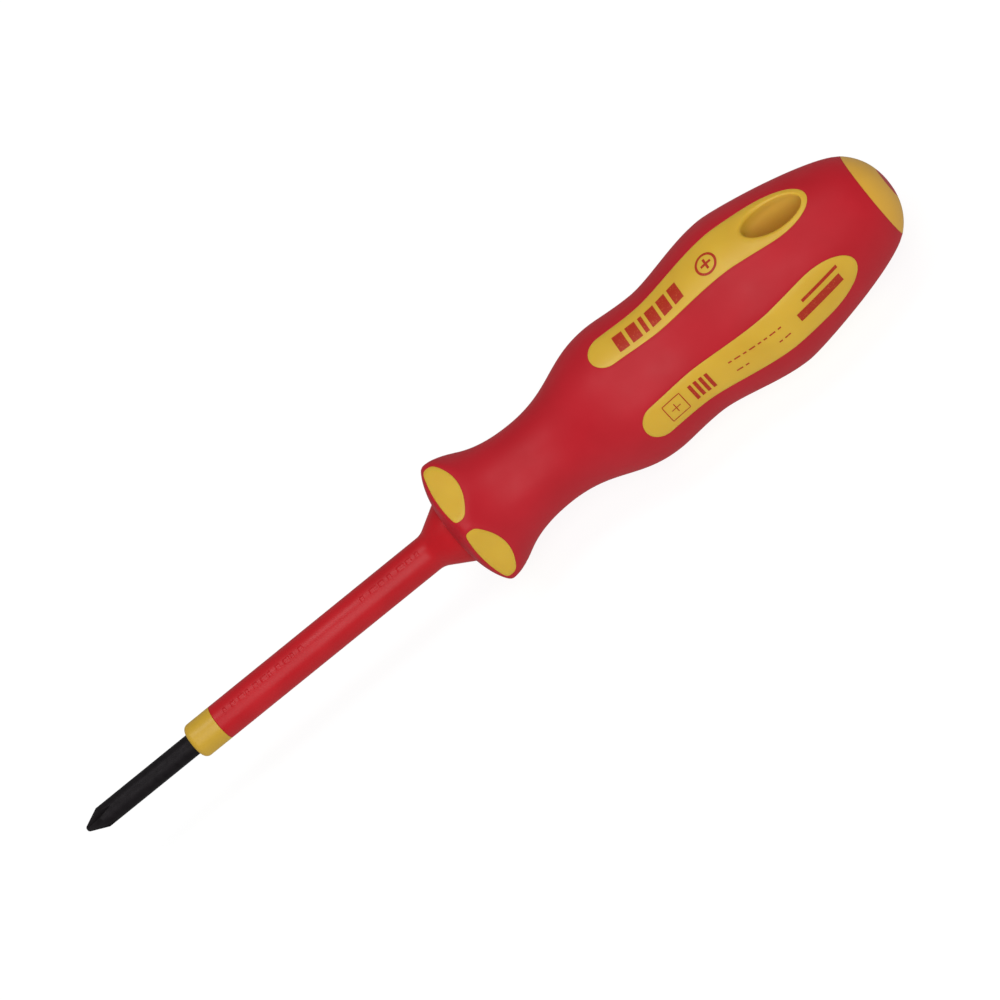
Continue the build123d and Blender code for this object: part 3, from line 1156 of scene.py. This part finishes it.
@dataclass
class Blade:
    """Round bar with a four-winged cross tip, and staked ears inside the handle."""

    radius: float = BAR_RADIUS
    end_radius: float = 0.4
    end_edge: float = 0.12
    half_angle: float = 24.0
    flute_root: float = 0.32
    flute_length: float = 4.6
    edge: float = 0.05               # rounding of the wings' edges
    roll: float = 32.0               # degrees round the tool of the first wing
    tail_edge: float = 0.4
    ear_height: float = 0.9
    ear_width: float = 1.1
    ear_length: float = 6.0
    ear_slope: float = 1.2
    ear_starts: tuple[float, float] = (86.0, 95.0)
    cone_rings: int = 24
    flute_rings: int = 20
    flute_over: float = 0.4          # rings stay close this far past the flutes
    plain_rings: tuple[float, ...] = (8.0, 13.0, 18.0, 40.0, 70.0)

    def envelope(self, x: float) -> float:
        """Radius before the flutes are cut."""
        if x < self.end_edge:
            return self.end_radius - self.end_edge + x
        slope = math.tan(math.radians(self.half_angle))
        return min(self.radius, self.end_radius + (x - self.end_edge) * slope)

    def section(self, x: float, steps: int = 9) -> list[Vector]:
        """Points round the bar at x, following the wings' edges."""
        outer = self.envelope(x)
        root = self.flute_root + x * (self.radius - self.flute_root) / self.flute_length
        step = root / math.sqrt(2)
        edge = math.asin(min(1.0, step / outer)) if step < outer / math.sqrt(2) else math.pi / 4
        half = [edge * i / steps for i in range(steps)]
        half += [edge + (math.pi / 4 - edge) * i / steps for i in range(steps)]
        turns = half + [math.pi / 2 - a for a in [math.pi / 4] + half[:0:-1]]
        made = []
        for quarter in range(4):
            for turn in turns:
                cut = step / max(min(math.sin(turn), math.cos(turn)), SAME)
                near = max(self.edge - abs(outer - cut), 0.0) / self.edge
                reach = min(outer, cut) - near * near * self.edge / 4
                angle = turn + math.pi / 2 * quarter + math.radians(self.roll)
                made.append(polar(x, reach, angle))
        return made

    def ear(self, start: float, quarter: int) -> Draft:
        """One staked ear, standing out of the bar."""
        low = self.radius - self.ear_width / 4
        top = self.radius + self.ear_height
        outline = [(start, 0.0), (start, low), (start + self.ear_slope, top),
                   (start + self.ear_length - self.ear_slope, top), (start + self.ear_length, low),
                   (start + self.ear_length, 0.0)]
        turn = Matrix.Rotation(math.pi / 2 * quarter, 3, "X")
        made = Draft()
        walls = [made.add(turn @ Vector((x, y, z)) for x, z in outline)
                 for y in (-self.ear_width / 2, self.ear_width / 2)]
        made.bridge(walls[0], walls[1])
        made.faces += [tuple(walls[0]), tuple(reversed(walls[1]))]
        return made

    def build(self, finish: bpy.types.Material) -> bpy.types.Object:
        """The whole bar, from its tip to its end in the core."""
        end = high_x("blade")
        shoulder = self.end_edge + (self.radius - self.end_radius) / math.tan(math.radians(self.half_angle))
        places = [0.0, self.end_edge / 3, self.end_edge * 2 / 3]
        for start, stop, count in ((self.end_edge, shoulder, self.cone_rings),
                                   (shoulder, self.flute_length + self.flute_over, self.flute_rings)):
            places += [start + (stop - start) * i / count for i in range(count)]
        places += [self.flute_length + self.flute_over, *self.plain_rings, end - self.tail_edge]
        made = Draft()
        rings = [made.add(self.section(x)) for x in places]
        shrink = (self.radius - self.tail_edge) / self.radius
        rings.append(made.add(Vector((end, p.y * shrink, p.z * shrink)) for p in self.section(end)))
        for one, two in zip(rings, rings[1:]):
            made.bridge(one, two)
        made.fan(rings[0], made.add([Vector((0.0, 0, 0))])[0])
        made.fan(rings[-1], made.add([Vector((end, 0, 0))])[0])
        for number, start in enumerate(self.ear_starts):
            for quarter in (number, number + 2):
                made.join(self.ear(start, quarter))
        return made.piece("blade_bar", finish, "blade", "blade", sharp=30.0)


@dataclass(frozen=True)
class DashRow:
    """A row of low raised dashes along the sheath, of three lengths."""

    at: float                        # its start, from the cover's own start or the hilt's face
    step: float
    shortest: float
    longer: float                    # what the second length adds, and the third twice
    stride: int                      # which orders the lengths
    count: int

    def dashes(self, start: float) -> list[Point2]:
        """Start and length of each dash."""
        return [(start + self.at + self.step * i, self.shortest + self.longer * (i * self.stride % 3))
                for i in range(self.count)]


@dataclass
class Sheath:
    """Two insulation layers on the bar: the warning layer and the outer one."""

    bore: float = BAR_RADIUS
    inner: float = 2.0
    outer: float = 2.5
    collar_edge: float = 0.8
    lip: float = 0.12                # roundings of small edges
    cone_length: float = 3.7
    cone_blend: float = 2.6
    root: float = 4.6
    tail: float = 3.2
    mark_height: float = 0.09
    mark_sunk: float = 0.04          # how far a raised dash's border lies under the surface
    mark_foot: float = 0.96          # share of the radius at a dash's foot
    mark_side: float = -17.0         # degrees round the tool
    mark_half: float = 10.0          # degrees to each side
    mark_rows: int = 8               # faces along a dash
    mark_columns: int = 6            # and across it
    near_row: DashRow = DashRow(1.6, 1.25, 0.55, 0.3, 7, 11)
    far_row: DashRow = DashRow(-14.6, 1.5, 0.7, 0.35, 5, 7)

    def collar(self, finish: bpy.types.Material) -> bpy.types.Object:
        """The warning layer, with its rounded collar in front."""
        start, end = low_x("inner_sheath"), high_x("inner_sheath")
        step = low_x("outer_sheath")
        outline = rounded([
            (end, self.bore, 0), (start, self.bore, self.lip / 2), (start, self.outer, self.collar_edge),
            (step, self.outer, self.lip / 3), (step, self.inner, 0), (end, self.inner, 0)])
        return lathe(outline).piece("warning_collar", finish, "inner_sheath", "inner_sheath")

    def marks(self, dashes: Sequence[Point2]) -> Draft:
        """Low raised dashes along the sheath.

        Args:
            dashes: Where each dash starts and how long it is.

        Returns:
            The dashes, each a closed pillow that sits in the surface.
        """
        made = Draft()
        for start, length in dashes:
            rows = []
            for t in (-1 + 2 * i / self.mark_rows for i in range(self.mark_rows + 1)):
                row = []
                for s in (-1 + 2 * j / self.mark_columns for j in range(self.mark_columns + 1)):
                    rise = (1 - t**6) * (1 - s**4)      # flat on top, steeper at its ends
                    radius = self.outer - self.mark_sunk + (self.mark_height + self.mark_sunk) * rise
                    row.append(polar(start + length * (t + 1) / 2, radius,
                                     math.radians(self.mark_side + self.mark_half * s)))
                rows.append(made.add(row))
            for one, two in zip(rows, rows[1:]):
                made.bridge(one, two, closed=False)
            border = rows[0] + [r[-1] for r in rows[1:-1]] + rows[-1][::-1] + [r[0] for r in rows[-2:0:-1]]
            foot = Vector((1.0, self.mark_foot, self.mark_foot))
            sunk = made.add(made.points[n] * foot for n in border)
            made.bridge(border, sunk)
            made.faces.append(tuple(sunk))
        return made

    def cover(self, finish: bpy.types.Material) -> bpy.types.Object:
        """The outer layer, its cone and the tail inside the handle."""
        start, end = low_x("outer_sheath"), high_x("outer_sheath")
        grip = low_x("soft_grip")
        face = grip - FACE_BACK
        outline = rounded([
            (end, self.inner, 0), (start, self.inner, 0), (start, self.outer, self.lip),
            (face - self.cone_length, self.outer, self.cone_blend), (face, self.root, 0),
            (grip + GRIP_WALL, self.root, 0), (grip + GRIP_WALL, self.tail, 0), (end, self.tail, 0)])
        made = lathe(outline)
        made.join(self.marks(self.near_row.dashes(start) + self.far_row.dashes(face)))
        return made.piece("outer_sheath_cover", finish, "outer_sheath", "outer_sheath")


@dataclass(frozen=True)
class KeptNode:
    """A piece whose CAD mesh stays: the core, the end cap or the cap's badge."""

    node: str

    def dress(self, finish: bpy.types.Material) -> None:
        """Give the node its finish."""
        materials = frame["nodes"][self.node].data.materials
        materials.clear()
        materials.append(finish)
        LOG.info("%s: kept, in %s", self.node, finish.name)


# --------------------------------------------------------------------------------------
# Stage
# --------------------------------------------------------------------------------------


@dataclass(frozen=True)
class SoftBox:
    """A soft light that hangs round the tool."""

    name: str
    angle: float                     # degrees round the tool, from +Z towards +Y
    along: float
    reach: float                     # from the axis
    size: Point2                     # its length along the tool and its width
    watts: float

    def hang(self) -> None:
        """Make the light and point it at the axis."""
        data = bpy.data.lights.new(self.name, "AREA")
        data.shape = "RECTANGLE"
        data.size, data.size_y = self.size[0] * MM, self.size[1] * MM
        data.energy = self.watts
        out = polar(0.0, 1.0, math.radians(self.angle))
        place = (Vector((self.along, 0, 0)) + out * self.reach) * MM
        side = Vector((1, 0, 0))
        turn = Matrix((side, out.cross(side), out)).transposed().to_4x4()
        made = bpy.data.objects.new(self.name, data)
        made.matrix_world = Matrix.Translation(place) @ turn
        bpy.context.scene.collection.objects.link(made)


@dataclass
class Stage:
    """White floor, soft lights and the camera."""

    aim_x: float = 68.5              # where the camera looks on the tool's axis
    aim_aside: float = 0.42
    distance: float = 680.0
    tilt: float = 8.3                # degrees that the tip leans away
    round_angle: float = -37.8       # degrees round the tool that face the camera
    slope: float = 39.0              # degrees of the tool's axis in the picture
    lens: float = 193.4
    sensor: float = 36.0
    clip_end: float = 50.0           # metres
    floor_half: float = 3000.0
    floor_colour: str = "#6c6c6c"
    floor_roughness: float = 0.9
    floor_specular: float = 0.1
    floor_glow: float = 0.88
    sky: float = 0.26
    boxes: tuple[SoftBox, ...] = (
        SoftBox("overhead_box", 6.0, 60.0, 620.0, (700.0, 220.0), 1.95),
        SoftBox("front_box", -42.0, 110.0, 900.0, (700.0, 700.0), 5.6),
    )

    def camera(self) -> None:
        """Put the camera where the tool lies across the picture with its tip low on the left."""
        tilt, turn = math.radians(self.tilt), math.radians(self.round_angle)
        back = Vector((math.sin(tilt), math.cos(tilt) * math.sin(turn), math.cos(tilt) * math.cos(turn)))
        along = (Vector((1, 0, 0)) - back * back.x).normalized()
        aside = Vector((0, -math.cos(turn), math.sin(turn)))
        lean = math.radians(self.slope)
        right = along * math.cos(lean) + aside * math.sin(lean)
        up = back.cross(right)
        eye = (Vector((self.aim_x, 0, 0)) + aside * self.aim_aside + back * self.distance) * MM
        lens = bpy.data.cameras.new("camera")
        lens.lens = self.lens
        lens.sensor_width = self.sensor
        lens.clip_end = self.clip_end
        made = bpy.data.objects.new("camera", lens)
        made.matrix_world = Matrix.Translation(eye) @ Matrix((right, up, back)).transposed().to_4x4()
        bpy.context.scene.collection.objects.link(made)
        bpy.context.scene.camera = made

    def floor(self) -> None:
        """A white floor just under the tool."""
        half, z = self.floor_half * MM, CAD_BOX[0].z
        mesh = bpy.data.meshes.new("floor")
        mesh.from_pydata([(-half, -half, z), (half, -half, z), (half, half, z), (-half, half, z)], [],
                         [(0, 1, 2, 3)])
        material = bpy.data.materials.new("paper_white_matt")
        material.use_nodes = True
        settings = {"Base Color": linear(self.floor_colour), "Roughness": self.floor_roughness,
                    "Specular IOR Level": self.floor_specular, "Emission Color": (1, 1, 1, 1),
                    "Emission Strength": self.floor_glow}
        for name, value in settings.items():
            material.node_tree.nodes["Principled BSDF"].inputs[name].default_value = value
        mesh.materials.append(material)
        made = bpy.data.objects.new("floor", mesh)
        made.visible_glossy = False  # a glowing floor would put a pale rim on the glossy parts
        bpy.context.scene.collection.objects.link(made)

    def build(self) -> None:
        """Set everything up."""
        self.camera()
        self.floor()
        for box in self.boxes:
            box.hang()
        world = bpy.data.worlds.new("studio")
        world.use_nodes = True
        world.node_tree.nodes["Background"].inputs["Color"].default_value = (1, 1, 1, 1)
        world.node_tree.nodes["Background"].inputs["Strength"].default_value = self.sky
        bpy.context.scene.world = world
        bpy.context.scene.view_settings.view_transform = "Standard"


def main() -> None:
    """Build the tool and its stage."""
    logging.basicConfig(level=logging.INFO, format="%(message)s")
    Stage().build()
    finishes = Finishes()
    KeptNode("handle_core").dress(finishes.core)
    KeptNode("end_cap").dress(finishes.cap)
    KeptNode("cap_badge").dress(finishes.badge)
    Blade().build(finishes.blade)
    sheath = Sheath()
    sheath.collar(finishes.collar)
    sheath.cover(finishes.sheath)
    handle = Handle()
    handle.grip(finishes.grip)
    handle.body(finishes.body, finishes.hole)
    Print(handle).build(finishes.ink)


if __name__ == "__main__":
    main()
